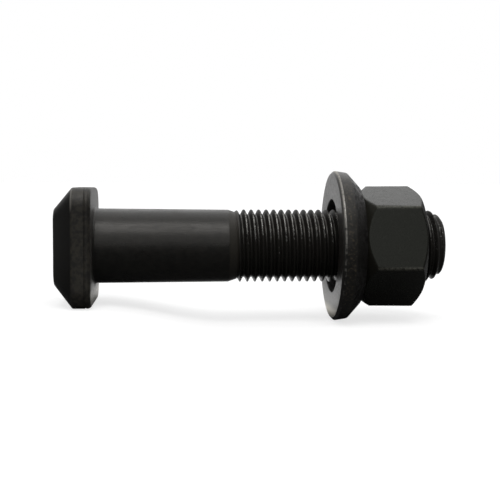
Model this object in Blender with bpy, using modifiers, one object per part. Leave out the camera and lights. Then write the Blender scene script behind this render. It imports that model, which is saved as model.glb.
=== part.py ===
"""Wheel bolt: a square head bolt with its hexagon nut and the thrust washer held on the nut.

The bolt lies along X with its head at -X. The origin is on the bolt's axis, halfway along its length.
"""
import math

import bmesh
import bpy
from mathutils import Matrix

MM = 0.001

# Fits
RUNNING_GAP = 0.3 * MM

# Bolt: heights are measured along its axis from the head's bearing face, towards the tip
HEAD_HEIGHT = 11.45 * MM
HEAD_ACROSS_FLATS = 35.5 * MM
HEAD_CORNER_RADIUS = 5.6 * MM
HEAD_TAPER_HEIGHT = 5.8 * MM
HEAD_END_ACROSS_FLATS = 22.4 * MM
HEAD_EDGE_ROUND = 1.0 * MM
UNDERHEAD_FILLET = 0.8 * MM
LENGTH_UNDER_HEAD = 106.3 * MM
SHANK_RADIUS_AT_HEAD = 11.35 * MM
SHANK_RADIUS_AT_NECK = 11.05 * MM
NECK_START = 40.4 * MM
NECK_LENGTH = 2.6 * MM
NECK_DIP = 0.2 * MM

# Thread: 7/8 inch with 11 threads to the inch, right-handed, in the Whitworth 55 degree form
THREAD_DIAMETER = 22.225 * MM
THREAD_PITCH = 25.4 * MM / 11.0
THREAD_FLANK_ANGLE = math.radians(55.0)
THREAD_DEPTH_IN_PITCHES = 0.6403
THREAD_FIRST_CREST = 45.25 * MM
THREAD_CLOCKING = math.radians(175.4)
THREAD_FADE = 2.6 * MM
TIP_RADIUS = 8.8 * MM
TIP_CHAMFER = 3.4 * MM

# Nut
NUT_ACROSS_FLATS = 32.8 * MM
NUT_HEIGHT = 18.3 * MM
NUT_TURN = math.radians(11.7)
NUT_BASE_RADIUS = 16.1 * MM
NUT_BASE_CHAMFER = 3.2 * MM
NUT_END_RADIUS = 16.1 * MM
NUT_END_CHAMFER = 2.0 * MM
NUT_BORE_CHAMFER = 0.9 * MM
COLLAR_RADIUS = 12.9 * MM
FLARE_RADIUS = 13.9 * MM
FLARE_THICKNESS = 1.3 * MM

# Thrust washer
WASHER_FACE_HEIGHT = 72.45 * MM
WASHER_OUTER_RADIUS = 23.05 * MM
WASHER_REAR_RADIUS = 22.55 * MM
WASHER_RIM_THICKNESS = 4.2 * MM
WASHER_EDGE_CHAMFER = 0.8 * MM
WASHER_THICKNESS = 8.1 * MM
WASHER_TOP_RADIUS = 18.3 * MM
WASHER_BORE_CLEARANCE = 0.5 * MM
WASHER_RECESS_CLEARANCE = 0.5 * MM
WASHER_RECESS_DEPTH = 4.2 * MM

# Facets
TURNED_STEPS = 48
THREAD_STEPS = 24
CORNER_SEGMENTS = 4
ROUND_SEGMENTS = 2
FILLET_SEGMENTS = 3
SMOOTH_ANGLE = math.radians(30.0)

# Places worked out from the sizes above
TOTAL_LENGTH = HEAD_HEIGHT + LENGTH_UNDER_HEAD
BEARING_FACE_X = HEAD_HEIGHT - TOTAL_LENGTH / 2.0
THREAD_DEPTH = THREAD_DEPTH_IN_PITCHES * THREAD_PITCH
THREAD_RADIUS = THREAD_DIAMETER / 2.0
BLANK_RADIUS = THREAD_RADIUS - THREAD_DEPTH / 2.0
NUT_BASE_HEIGHT = WASHER_FACE_HEIGHT + WASHER_THICKNESS + RUNNING_GAP
NUT_END_HEIGHT = NUT_BASE_HEIGHT + NUT_HEIGHT
NUT_BORE_RADIUS = THREAD_RADIUS + RUNNING_GAP
RECESS_FLOOR_HEIGHT = WASHER_FACE_HEIGHT + WASHER_RECESS_DEPTH
FLARE_TOP_HEIGHT = RECESS_FLOOR_HEIGHT - RUNNING_GAP
COLLAR_END_HEIGHT = FLARE_TOP_HEIGHT - FLARE_THICKNESS


def clear_scene():
    for item in list(bpy.data.objects):
        bpy.data.objects.remove(item, do_unlink=True)


def new_collection(name):
    group = bpy.data.collections.new(name)
    bpy.context.scene.collection.children.link(group)
    return group


def new_material(name, colour, roughness, metallic):
    material = bpy.data.materials.new(name)
    material.use_nodes = True
    shader = material.node_tree.nodes["Principled BSDF"]
    shader.inputs["Base Color"].default_value = (*colour, 1.0)
    shader.inputs["Roughness"].default_value = roughness
    shader.inputs["Metallic"].default_value = metallic
    material.diffuse_color = (*colour, 1.0)
    return material


def lay_on_bolt_axis(item):
    """Puts the item's own Z axis on the bolt's axis, with its height zero at the bearing face."""
    item.rotation_euler = (0.0, math.pi / 2.0, 0.0)
    item.location = (BEARING_FACE_X, 0.0, 0.0)


def link_mesh(name, mesh, group):
    item = bpy.data.objects.new(name, mesh)
    group.objects.link(item)
    lay_on_bolt_axis(item)
    return item


def plain_mesh(item):
    """The item's mesh with its modifiers applied; the item itself is removed."""
    bpy.context.view_layer.update()
    evaluated = item.evaluated_get(bpy.context.evaluated_depsgraph_get())
    mesh = bpy.data.meshes.new_from_object(evaluated)
    mesh.name = item.name
    bpy.data.objects.remove(item, do_unlink=True)
    return mesh


def profile_mesh(name, profile, closed):
    """A chain of edges in the XZ plane, from (height, radius) pairs."""
    corners = [(radius, 0.0, height) for height, radius in profile]
    edges = [(i, i + 1) for i in range(len(corners) - 1)]
    if closed:
        edges.append((len(corners) - 1, 0))
    mesh = bpy.data.meshes.new(name)
    mesh.from_pydata(corners, edges, [])
    return mesh


def add_screw(item, steps):
    screw = item.modifiers.new("Turn", "SCREW")
    screw.axis = "Z"
    screw.angle = 2.0 * math.pi
    screw.steps = steps
    screw.render_steps = steps
    return screw


def turned(name, profile, group, closed=False):
    """A turned body: the profile runs down its outer side, from the tip's end to the head's end."""
    item = link_mesh(name, profile_mesh(name, profile, closed), group)
    screw = add_screw(item, TURNED_STEPS)
    screw.use_merge_vertices = True
    screw.merge_threshold = 0.000001
    return item


def add_boolean(item, operation, other):
    boolean = item.modifiers.new(operation.title(), "BOOLEAN")
    boolean.operation = operation
    boolean.solver = "EXACT"
    boolean.object = other


def as_cutter(item):
    item.hide_render = True
    item.display_type = "WIRE"
    return item


def underhead_fillet():
    """The hollow round between the shank and the head's bearing face, from the shank downwards."""
    centre_radius = SHANK_RADIUS_AT_HEAD + UNDERHEAD_FILLET
    points = []
    for i in range(FILLET_SEGMENTS + 1):
        angle = math.pi / 2.0 * i / FILLET_SEGMENTS
        height = UNDERHEAD_FILLET * (1.0 - math.sin(angle))
        points.append((height, centre_radius - UNDERHEAD_FILLET * math.cos(angle)))
    return points


def make_head(group):
    """A rounded square block that tapers to a smaller square end."""
    straight = HEAD_HEIGHT - HEAD_TAPER_HEIGHT
    mesh = bpy.data.meshes.new("head_block")
    bm = bmesh.new()
    bmesh.ops.create_cube(bm, size=1.0)
    bmesh.ops.scale(bm, verts=bm.verts, vec=(HEAD_ACROSS_FLATS, HEAD_ACROSS_FLATS, straight))
    bmesh.ops.translate(bm, verts=bm.verts, vec=(0.0, 0.0, -straight / 2.0))
    upright = [e for e in bm.edges if abs(e.verts[0].co.z - e.verts[1].co.z) > straight / 2.0]
    bmesh.ops.bevel(
        bm, geom=upright, offset=HEAD_CORNER_RADIUS, offset_type="OFFSET",
        segments=CORNER_SEGMENTS, profile=0.5, affect="EDGES")
    bm.faces.ensure_lookup_table()
    end_face = min(bm.faces, key=lambda face: face.calc_center_median().z)
    grown = bmesh.ops.extrude_face_region(bm, geom=[end_face])
    moved = [v for v in grown["geom"] if isinstance(v, bmesh.types.BMVert)]
    share = HEAD_END_ACROSS_FLATS / HEAD_ACROSS_FLATS
    bmesh.ops.scale(bm, verts=moved, vec=(share, share, 1.0))
    bmesh.ops.translate(bm, verts=moved, vec=(0.0, 0.0, -HEAD_TAPER_HEIGHT))
    if end_face.is_valid:
        bmesh.ops.delete(bm, geom=[end_face], context="FACES_ONLY")
    bmesh.ops.recalc_face_normals(bm, faces=bm.faces)
    bm.to_mesh(mesh)
    bm.free()
    head = link_mesh("square_head_bolt", mesh, group)
    bevel = head.modifiers.new("Edge round", "BEVEL")
    bevel.width = HEAD_EDGE_ROUND
    bevel.segments = ROUND_SEGMENTS
    bevel.limit_method = "ANGLE"
    bevel.angle_limit = math.radians(30.0)
    return head


def make_shank(group):
    """The plain shank, rooted in the head, and the neck that leads down to the thread."""
    neck_end = NECK_START + NECK_LENGTH
    root_depth = (HEAD_HEIGHT - HEAD_TAPER_HEIGHT) / 2.0
    profile = [
        (neck_end, 0.0),
        (neck_end, BLANK_RADIUS - NECK_DIP),
        (NECK_START, SHANK_RADIUS_AT_NECK),
        *underhead_fillet(),
        (-root_depth, SHANK_RADIUS_AT_HEAD),
        (-root_depth, 0.0),
    ]
    return as_cutter(turned("shank", profile, group))


def thread_profile():
    """One pitch of the thread form, from the middle of one root to the middle of the next."""
    flank = THREAD_DEPTH * math.tan(THREAD_FLANK_ANGLE / 2.0)
    flat = THREAD_PITCH / 2.0 - flank
    root = THREAD_RADIUS - THREAD_DEPTH
    middle = THREAD_PITCH / 2.0
    return [
        (0.0, root),
        (flat / 2.0, root),
        (middle - flat / 2.0, THREAD_RADIUS),
        (middle + flat / 2.0, THREAD_RADIUS),
        (THREAD_PITCH - flat / 2.0, root),
        (THREAD_PITCH, root),
    ]


def fade_in(height):
    """0 on the plain neck, 1 where the thread has its full depth."""
    start = THREAD_FIRST_CREST - THREAD_FADE - THREAD_PITCH / 2.0
    share = min(max((height - start) / THREAD_FADE, 0.0), 1.0)
    return share * share * (3.0 - 2.0 * share)


def make_thread(group):
    """The rolled thread as a closed rod, longer than the bolt at the tip, fading into the neck."""
    turns_before = math.ceil((THREAD_FIRST_CREST - NECK_START) / THREAD_PITCH) + 1
    turns_after = math.ceil((LENGTH_UNDER_HEAD - THREAD_FIRST_CREST) / THREAD_PITCH) + 1
    first = THREAD_FIRST_CREST - THREAD_PITCH * (
        turns_before + 0.5 + THREAD_CLOCKING / (2.0 * math.pi))
    profile = [(first + height, radius) for height, radius in thread_profile()]
    rod = link_mesh("thread", profile_mesh("thread", profile, False), group)
    screw = add_screw(rod, THREAD_STEPS)
    screw.screw_offset = THREAD_PITCH
    screw.iterations = turns_before + turns_after + 1
    weld = rod.modifiers.new("Join turns", "WELD")
    weld.merge_threshold = 0.00001
    mesh = plain_mesh(rod)
    bm = bmesh.new()
    bm.from_mesh(mesh)
    for v in bm.verts:
        radius = math.hypot(v.co.x, v.co.y)
        wanted = BLANK_RADIUS + (radius - BLANK_RADIUS) * fade_in(v.co.z)
        v.co.x *= wanted / radius
        v.co.y *= wanted / radius
    rim = [e for e in bm.edges if e.is_boundary]
    heights = [v.co.z for e in rim for v in e.verts]
    middle = (min(heights) + max(heights)) / 2.0
    for upper in (False, True):
        loop = [e for e in rim if (e.verts[0].co.z > middle) == upper]
        level = sum(v.co.z for e in loop for v in e.verts) / (2.0 * len(loop))
        centre = bm.verts.new((0.0, 0.0, level))
        for edge in loop:
            bm.faces.new((centre, edge.verts[0], edge.verts[1]))
    bmesh.ops.recalc_face_normals(bm, faces=bm.faces)
    bm.to_mesh(mesh)
    bm.free()
    return as_cutter(link_mesh("thread", mesh, group))


def make_tip_envelope(group):
    """The turned blank that the thread is cut off by: a flat tip with a chamfer."""
    beyond = THREAD_RADIUS + THREAD_DEPTH
    slope = (THREAD_RADIUS - TIP_RADIUS) / TIP_CHAMFER
    chamfer_end = LENGTH_UNDER_HEAD - (beyond - TIP_RADIUS) / slope
    profile = [
        (LENGTH_UNDER_HEAD, 0.0),
        (LENGTH_UNDER_HEAD, TIP_RADIUS),
        (chamfer_end, beyond),
        (NECK_START, beyond),
        (NECK_START, 0.0),
    ]
    return as_cutter(turned("tip_envelope", profile, group))


def make_bolt(parts, cutters):
    thread = make_thread(cutters)
    add_boolean(thread, "INTERSECT", make_tip_envelope(cutters))
    bolt = make_head(parts)
    add_boolean(bolt, "UNION", make_shank(cutters))
    add_boolean(bolt, "UNION", thread)
    return bolt


def make_nut(parts, cutters):
    """The nut is turned with its collar, flare, bore and chamfers, and then cut to a hexagon."""
    corner = NUT_ACROSS_FLATS / math.sqrt(3.0)
    outer = corner + RUNNING_GAP
    base_slope = NUT_BASE_CHAMFER / (corner - NUT_BASE_RADIUS)
    end_slope = NUT_END_CHAMFER / (corner - NUT_END_RADIUS)
    profile = [
        (NUT_END_HEIGHT, NUT_BORE_RADIUS + NUT_BORE_CHAMFER),
        (NUT_END_HEIGHT, NUT_END_RADIUS),
        (NUT_END_HEIGHT - end_slope * (outer - NUT_END_RADIUS), outer),
        (NUT_BASE_HEIGHT + base_slope * (outer - NUT_BASE_RADIUS), outer),
        (NUT_BASE_HEIGHT, NUT_BASE_RADIUS),
        (NUT_BASE_HEIGHT, COLLAR_RADIUS),
        (FLARE_TOP_HEIGHT, COLLAR_RADIUS),
        (FLARE_TOP_HEIGHT - (FLARE_RADIUS - COLLAR_RADIUS), FLARE_RADIUS),
        (COLLAR_END_HEIGHT, FLARE_RADIUS),
        (COLLAR_END_HEIGHT, NUT_BORE_RADIUS + NUT_BORE_CHAMFER / 2.0),
        (COLLAR_END_HEIGHT + NUT_BORE_CHAMFER / 2.0, NUT_BORE_RADIUS),
        (NUT_END_HEIGHT - NUT_BORE_CHAMFER, NUT_BORE_RADIUS),
    ]
    nut = turned("hex_nut", profile, parts, closed=True)
    length = 2.0 * (NUT_END_HEIGHT - COLLAR_END_HEIGHT)
    mesh = bpy.data.meshes.new("hexagon")
    bm = bmesh.new()
    bmesh.ops.create_cone(
        bm, cap_ends=True, segments=6, radius1=corner, radius2=corner, depth=length)
    bmesh.ops.translate(bm, verts=bm.verts, vec=(0.0, 0.0, NUT_BASE_HEIGHT))
    bmesh.ops.rotate(
        bm, verts=bm.verts, cent=(0.0, 0.0, 0.0),
        matrix=Matrix.Rotation(math.radians(30.0) - NUT_TURN, 3, "Z"))
    bm.to_mesh(mesh)
    bm.free()
    hexagon = as_cutter(link_mesh("hexagon", mesh, cutters))
    add_boolean(nut, "INTERSECT", hexagon)
    return nut


def make_washer(parts):
    """A turned ring: widest at the thrust face, then a slight taper, a cone, and a stepped bore."""
    bore = COLLAR_RADIUS + WASHER_BORE_CLEARANCE
    recess = FLARE_RADIUS + WASHER_RECESS_CLEARANCE
    top = WASHER_FACE_HEIGHT + WASHER_THICKNESS
    profile = [
        (top, bore),
        (top, WASHER_TOP_RADIUS),
        (WASHER_FACE_HEIGHT + WASHER_RIM_THICKNESS, WASHER_REAR_RADIUS),
        (WASHER_FACE_HEIGHT + WASHER_EDGE_CHAMFER, WASHER_OUTER_RADIUS),
        (WASHER_FACE_HEIGHT, WASHER_OUTER_RADIUS - WASHER_EDGE_CHAMFER),
        (WASHER_FACE_HEIGHT, recess),
        (RECESS_FLOOR_HEIGHT, recess),
        (RECESS_FLOOR_HEIGHT, bore),
    ]
    return turned("thrust_washer", profile, parts, closed=True)


def finish(item, group, material):
    """The finished piece: a plain mesh, smooth but for its real edges, with its own material."""
    name = item.name
    mesh = plain_mesh(item)
    mesh.shade_smooth()
    mesh.set_sharp_from_angle(angle=SMOOTH_ANGLE)
    mesh.materials.clear()
    mesh.materials.append(material)
    return link_mesh(name, mesh, group)


clear_scene()
parts_group = new_collection("wheel_bolt")
cutters_group = new_collection("cutters")
finish(
    make_bolt(parts_group, cutters_group), parts_group,
    new_material("phosphated_bolt_steel", (0.045, 0.045, 0.044), 0.42, 0.7))
finish(
    make_nut(parts_group, cutters_group), parts_group,
    new_material("phosphated_nut_steel", (0.06, 0.062, 0.058), 0.38, 0.7))
finish(
    make_washer(parts_group), parts_group,
    new_material("turned_washer_steel", (0.08, 0.078, 0.074), 0.45, 0.7))
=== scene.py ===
import math

import bmesh
import bpy
from mathutils import Matrix, Vector, noise


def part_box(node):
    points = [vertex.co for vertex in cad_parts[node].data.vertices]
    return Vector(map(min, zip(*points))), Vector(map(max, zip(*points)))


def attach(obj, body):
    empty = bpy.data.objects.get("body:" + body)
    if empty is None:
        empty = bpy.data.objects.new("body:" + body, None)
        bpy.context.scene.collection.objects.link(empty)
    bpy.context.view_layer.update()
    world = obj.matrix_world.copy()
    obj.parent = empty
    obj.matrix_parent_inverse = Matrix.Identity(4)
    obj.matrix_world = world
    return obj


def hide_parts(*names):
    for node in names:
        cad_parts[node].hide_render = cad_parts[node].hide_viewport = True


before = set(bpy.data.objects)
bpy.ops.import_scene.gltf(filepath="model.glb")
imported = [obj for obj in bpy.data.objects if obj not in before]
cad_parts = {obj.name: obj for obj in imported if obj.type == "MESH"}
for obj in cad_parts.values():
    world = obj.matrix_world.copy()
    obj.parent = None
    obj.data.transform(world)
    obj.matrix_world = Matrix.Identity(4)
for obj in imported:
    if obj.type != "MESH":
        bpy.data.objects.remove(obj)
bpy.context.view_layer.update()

# A wheel bolt, lying on a side of its square head and on the rim of its washer.
# Shapes are worked out in millimetres: x and y across the bolt, z along it from the head's
# bearing face to the tip. placeInFrame then lays them on the frame's X axis, in metres.

boltLow, boltHigh = (Vector(corner) * 1000.0 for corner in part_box("square_head_bolt"))
nutHigh = Vector(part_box("hex_nut")[1]) * 1000.0
washerLow, washerHigh = (Vector(corner) * 1000.0 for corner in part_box("thrust_washer"))

bolt = {
    "headHeight": 11.45,
    "headAcross": boltHigh.z - boltLow.z,
    "headCorner": 5.6,
    "taperHeight": 5.8,
    "endAcross": 22.4,
    "bearingRound": 1.3,     # the trimmed edge on the bearing side
    "trimPlace": 1.85,       # the line that trimming leaves round the head
    "trimDepth": 0.16,
    "trimFloor": 0.08,       # from its middle, each way
    "trimLower": 0.25,
    "trimUpper": 0.3,
    "trimStep": 0.03,        # how much the head is smaller beyond it
    "taperRound": 0.9,
    "endRound": 0.8,
    "filletRadius": 0.8,
    "neckRound": 1.5,
    "shankAtHead": 11.35,
    "shankAtNeck": 11.05,
    "neckStart": 40.4,
    "neckLength": 2.6,
    "neckDip": 0.2,
    "tipEdge": 8.6,
    "tipRound": 0.3,
    "tipRing": 0.7,          # the flat end's last ring, inside its edge
    "tipSlope": 0.9,
    "tipPoints": 192,
    "toolReach": 3.0,        # how far past the thread the tip's tool goes
    "ringPoints": 224,
    "skinDepth": 0.05,       # how far the forged skin dips
    "skinGrain": 5.0,        # how wide its dips are
    "skinStart": 0.2,        # it starts this far behind the bearing face
    "skinFull": 2.0,
    "skinEnd": 0.5,          # this close to the flat end it dips along the bolt
    "sharpDegrees": 40.0,    # faces that meet at more than this keep a sharp edge
}
capRadius = 0.2              # flat ends close in a small ring round the axis
boltLength = boltHigh.x - boltLow.x
bearingX = boltLow.x + bolt["headHeight"]
tipHeight = boltLength - bolt["headHeight"]

thread = {
    "diameter": 22.225,      # 7/8 inch, 11 threads to the inch
    "pitch": 25.4 / 11.0,
    "flankAngle": math.radians(27.5),
    "depth": 0.640327,       # in pitches, as the Whitworth form has it
    "cut": 0.160082,         # in pitches, from a sharp crest down to the real one
    "crestSoftness": 0.12,   # how gently the flanks turn into the crest and the root, in mm
    "rootSoftness": 0.3,
    "firstCrest": 45.25,
    "clocking": math.radians(175.4),
    "fadeLength": 2.6,
    "seamDepth": 0.06,       # the fold that rolling leaves along a crest
    "seamReach": 0.11,
    "tipReach": 4.4,         # where the thread starts to shrink, before the tip
    "tipDrop": 2.2,
    "tipDepth": 0.35,        # the share of its depth that is left at the tip
    "tipCurve": 1.6,
    "mergeReach": 0.002,     # the seam between one turn's edge and the next
    "stepsPerTurn": 96,
    "pointsPerPitch": 20,
    "gather": 0.45,          # how much closer its points lie at the crest and the root
}

nut = {
    "across": 32.8,
    "turn": math.radians(11.7),
    "baseRadius": 16.1,
    "baseChamfer": 3.2,
    "endRadius": 16.1,
    "endChamfer": 2.0,
    "ridgeRound": 0.32,
    "boreMouth": 0.9,
    "collarRadius": 12.9,
    "flareRadius": 13.9,
    "flareThickness": 1.3,
    "flareBack": 3.9,        # from the washer's thrust face to the back of the flare
    "flareRound": 0.3,
    "flareEdge": 0.9,        # from its back to where it has its full radius
    "flareEdgeRound": 0.2,
    "collarRound": 0.25,
    "washerGap": 0.3,
    "faceInset": 0.6,        # the ring inside each chamfer
    "mouthLess": 0.5,        # how much less the bore opens at the collar
    "mouthReach": 0.6,       # how far its countersinks may widen past the nut's ends
    "threadGap": 0.12,
    "fadeBack": 50.0,        # how far before the nut its thread rises to its full depth
    "pointsPerFlat": 40,
    "bandHeight": 3.0,       # the stretch at each end where its rings lie closer
    "bandSteps": 24,
    "bandGather": 1.3,
    "roundSteps": 4,
    "sharpDegrees": 35.0,
}

washer = {
    "rimThickness": 4.2,
    "rearRadius": 22.55,
    "topRadius": 18.3,
    "edgeChamfer": 0.8,
    "edgeRound": 0.3,
    "backRound": 0.5,
    "faceRound": 0.12,
    "boreRadius": 13.4,
    "boreRound": 0.3,
    "recessRadius": 14.4,
    "recessDepth": 4.2,
    "recessRound": 0.25,
    "innerRound": 0.2,
    "ringPoints": 224,
    "sharpDegrees": 40.0,
}


def placeInFrame(mesh):
    toFrame = (
        Matrix.Translation((bearingX * 0.001, 0.0, 0.0))
        @ Matrix.Rotation(math.pi / 2.0, 4, "Y")
        @ Matrix.Scale(0.001, 4))
    mesh.transform(toFrame)
    mesh.update()


def makeObject(name, mesh):
    item = bpy.data.objects.new(name, mesh)
    bpy.context.scene.collection.objects.link(item)
    return item


def evaluatedMesh(item):
    bpy.context.view_layer.update()
    evaluated = item.evaluated_get(bpy.context.evaluated_depsgraph_get())
    mesh = bpy.data.meshes.new_from_object(evaluated)
    mesh.name = item.name
    bpy.data.objects.remove(item, do_unlink=True)
    return mesh


def combine(mesh, operation, other):
    item = makeObject(mesh.name, mesh)
    tool = makeObject("tool", other)
    boolean = item.modifiers.new(operation.title(), "BOOLEAN")
    boolean.operation = operation
    boolean.solver = "EXACT"
    boolean.object = tool
    result = evaluatedMesh(item)
    bpy.data.objects.remove(tool, do_unlink=True)
    return result


sliverSize = 0.0005
pointReach = 0.001


def dropSlivers(mesh):
    # cutting and joining can leave flat slivers where faces meet
    bm = bmesh.new()
    bm.from_mesh(mesh)
    bmesh.ops.remove_doubles(bm, verts=bm.verts, dist=pointReach)
    bmesh.ops.triangulate(bm, faces=bm.faces)
    bmesh.ops.dissolve_degenerate(bm, edges=bm.edges, dist=sliverSize)
    bm.to_mesh(mesh)
    bm.free()


def roundCorners(corners, segments=6):
    # corners are (radius, height, round); each round becomes an arc
    points = []
    for i, (radius, height, size) in enumerate(corners):
        here = Vector((radius, height))
        if size <= 0.0:
            points.append(here)
            continue
        before = (Vector(corners[i - 1][:2]) - here).normalized()
        after = (Vector(corners[(i + 1) % len(corners)][:2]) - here).normalized()
        half = before.angle(after) / 2.0
        centre = here + (before + after).normalized() * size / math.sin(half)
        reach = size / math.tan(half)
        first = here + before * reach - centre
        last = here + after * reach - centre
        sweep = first.angle(last)
        for k in range(segments + 1):
            share = k / segments
            a = math.sin((1.0 - share) * sweep) / math.sin(sweep)
            b = math.sin(share * sweep) / math.sin(sweep)
            points.append(centre + first * a + last * b)
    return points


def loft(name, rings, closed=False):
    # rings of points joined by quads, either closed on itself or capped at both ends
    bm = bmesh.new()
    loops = [[bm.verts.new(point) for point in ring] for ring in rings]
    pairs = list(zip(loops, loops[1:]))
    if closed:
        pairs.append((loops[-1], loops[0]))
    for lower, upper in pairs:
        for i in range(len(lower)):
            j = (i + 1) % len(lower)
            bm.faces.new((lower[i], lower[j], upper[j], upper[i]))
    if not closed:
        bm.faces.new(loops[0])
        bm.faces.new(loops[-1])
    bmesh.ops.recalc_face_normals(bm, faces=bm.faces)
    mesh = bpy.data.meshes.new(name)
    bm.to_mesh(mesh)
    bm.free()
    return mesh


def polar(radius, angle, height):
    return radius * math.cos(angle), radius * math.sin(angle), height


def circle(radius, height, count):
    return [polar(radius, 2.0 * math.pi * i / count, height) for i in range(count)]


def finishMesh(mesh, name, finish, sharpDegrees):
    mesh.name = name
    mesh.materials.clear()
    mesh.materials.append(finish)
    dropSlivers(mesh)
    mesh.shade_smooth()
    mesh.set_sharp_from_angle(angle=math.radians(sharpDegrees))
    placeInFrame(mesh)
    print(name, "has", len(mesh.polygons), "faces")
    return makeObject(name, mesh)


# Nodes and colours


def linearColor(hexColor):
    channels = [int(hexColor[i:i + 2], 16) / 255.0 for i in (1, 3, 5)]
    linear = [c / 12.92 if c <= 0.04045 else ((c + 0.055) / 1.055) ** 2.4 for c in channels]
    return (*linear, 1.0)


def addNode(tree, kind, inputs=None, **settings):
    node = tree.nodes.new(kind)
    for name, value in settings.items():
        setattr(node, name, value)
    for key, source in (inputs or {}).items():
        if isinstance(source, bpy.types.Node):
            tree.links.new(source.outputs[0], node.inputs[key])
        elif isinstance(source, bpy.types.NodeSocket):
            tree.links.new(source, node.inputs[key])
        else:
            node.inputs[key].default_value = source
    return node


def addMath(tree, operation, *values):
    return addNode(tree, "ShaderNodeMath", dict(enumerate(values)), operation=operation)


# The thread: one pitch of its form, wound round the bolt's axis by Geometry Nodes


def threadTree():
    tree = bpy.data.node_groups.new("woundThread", "GeometryNodeTree")
    inputs = {
        "Float": [
            "Pitch", "Crest Radius", "Root Radius", "Sharp Radius", "Crest Softness",
            "Root Softness", "Flank Slope", "First Root", "Blank Radius", "Fade Start",
            "Fade End", "Seam Depth", "Seam Reach", "Tip Start", "Tip End", "Tip Drop",
            "Tip Depth", "Tip Curve", "Gather", "Merge Reach"],
        "Int": ["Turns", "Steps", "Points"],
        "Material": ["Finish"],
    }
    for kind, names in inputs.items():
        for name in names:
            tree.interface.new_socket(name, in_out="INPUT", socket_type="NodeSocket" + kind)
    tree.interface.new_socket("Geometry", in_out="OUTPUT", socket_type="NodeSocketGeometry")
    given = addNode(tree, "NodeGroupInput").outputs

    # a unit sheet: its x runs along the turns and its y across one pitch, where a wave draws its
    # points towards the crest and the root
    columns = addMath(tree, "MULTIPLY", given["Turns"], given["Steps"])
    columns = addMath(tree, "ADD", columns, 1.0)
    rows = addMath(tree, "ADD", given["Points"], 1.0)
    sheet = addNode(tree, "GeometryNodeMeshGrid", {"Vertices X": columns, "Vertices Y": rows})
    place = addNode(tree, "GeometryNodeInputPosition")
    place = addNode(tree, "ShaderNodeSeparateXYZ", {0: place}).outputs
    along = addMath(tree, "ADD", place[0], 0.5)
    turn = addMath(tree, "MULTIPLY", along, given["Turns"])
    wave = addMath(tree, "MULTIPLY", place[1], 4.0 * math.pi)
    wave = addMath(tree, "SINE", wave)
    wave = addMath(tree, "MULTIPLY", wave, given["Gather"])
    aside = addMath(tree, "MULTIPLY_ADD", wave, -0.25 / math.pi, place[1])
    across = addMath(tree, "ADD", aside, 0.5)
    rise = addMath(tree, "ADD", turn, across)
    height = addMath(tree, "MULTIPLY_ADD", rise, given["Pitch"], given["First Root"])

    # the form: straight flanks that turn gently into the crest and the root
    fromCrest = addMath(tree, "MULTIPLY", aside, given["Pitch"])
    fromCrest = addMath(tree, "ABSOLUTE", fromCrest)
    drop = addMath(tree, "MULTIPLY", fromCrest, given["Flank Slope"])
    radius = addMath(tree, "SUBTRACT", given["Sharp Radius"], drop)
    radius = addMath(tree, "SMOOTH_MIN", radius, given["Crest Radius"], given["Crest Softness"])
    radius = addMath(tree, "SMOOTH_MAX", radius, given["Root Radius"], given["Root Softness"])

    # rolling leaves a shallow fold along the crest
    share = addNode(
        tree, "ShaderNodeMapRange", {0: fromCrest, 1: 0.0, 2: given["Seam Reach"], 3: 1.0, 4: 0.0},
        interpolation_type="SMOOTHSTEP")
    sink = addMath(tree, "MULTIPLY", share, given["Seam Depth"])
    radius = addMath(tree, "SUBTRACT", radius, sink)

    # towards the tip the thread gets smaller and shallower
    share = addNode(tree, "ShaderNodeMapRange", {0: height, 1: given["Tip Start"], 2: given["Tip End"]})
    left = addNode(tree, "ShaderNodeMapRange", {0: share, 3: 1.0, 4: given["Tip Depth"]})
    share = addMath(tree, "POWER", share, given["Tip Curve"])
    sink = addMath(tree, "SUBTRACT", given["Crest Radius"], radius)
    sink = addMath(tree, "MULTIPLY", sink, left)
    sink = addMath(tree, "MULTIPLY_ADD", share, given["Tip Drop"], sink)
    radius = addMath(tree, "SUBTRACT", given["Crest Radius"], sink)

    # the thread rises out of the plain blank
    share = addNode(
        tree, "ShaderNodeMapRange", {0: height, 1: given["Fade Start"], 2: given["Fade End"]},
        interpolation_type="SMOOTHSTEP")
    radius = addNode(
        tree, "ShaderNodeMix", {0: share, 2: given["Blank Radius"], 3: radius}, data_type="FLOAT")
    angle = addMath(tree, "MULTIPLY", turn, 2.0 * math.pi)
    cosine = addMath(tree, "COSINE", angle)
    sine = addMath(tree, "SINE", angle)
    x = addMath(tree, "MULTIPLY", radius, cosine)
    y = addMath(tree, "MULTIPLY", radius, sine)
    wound = addNode(tree, "ShaderNodeCombineXYZ", {0: x, 1: y, 2: height})
    shape = addNode(tree, "GeometryNodeSetPosition", {0: sheet, "Position": wound})
    shape = addNode(tree, "GeometryNodeMergeByDistance", {0: shape, "Distance": given["Merge Reach"]})
    shape = addNode(tree, "GeometryNodeRealizeInstances", {0: shape})
    shape = addNode(tree, "GeometryNodeSetMaterial", {0: shape, "Material": given["Finish"]})
    addNode(tree, "NodeGroupOutput", {0: shape})
    return tree


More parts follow.
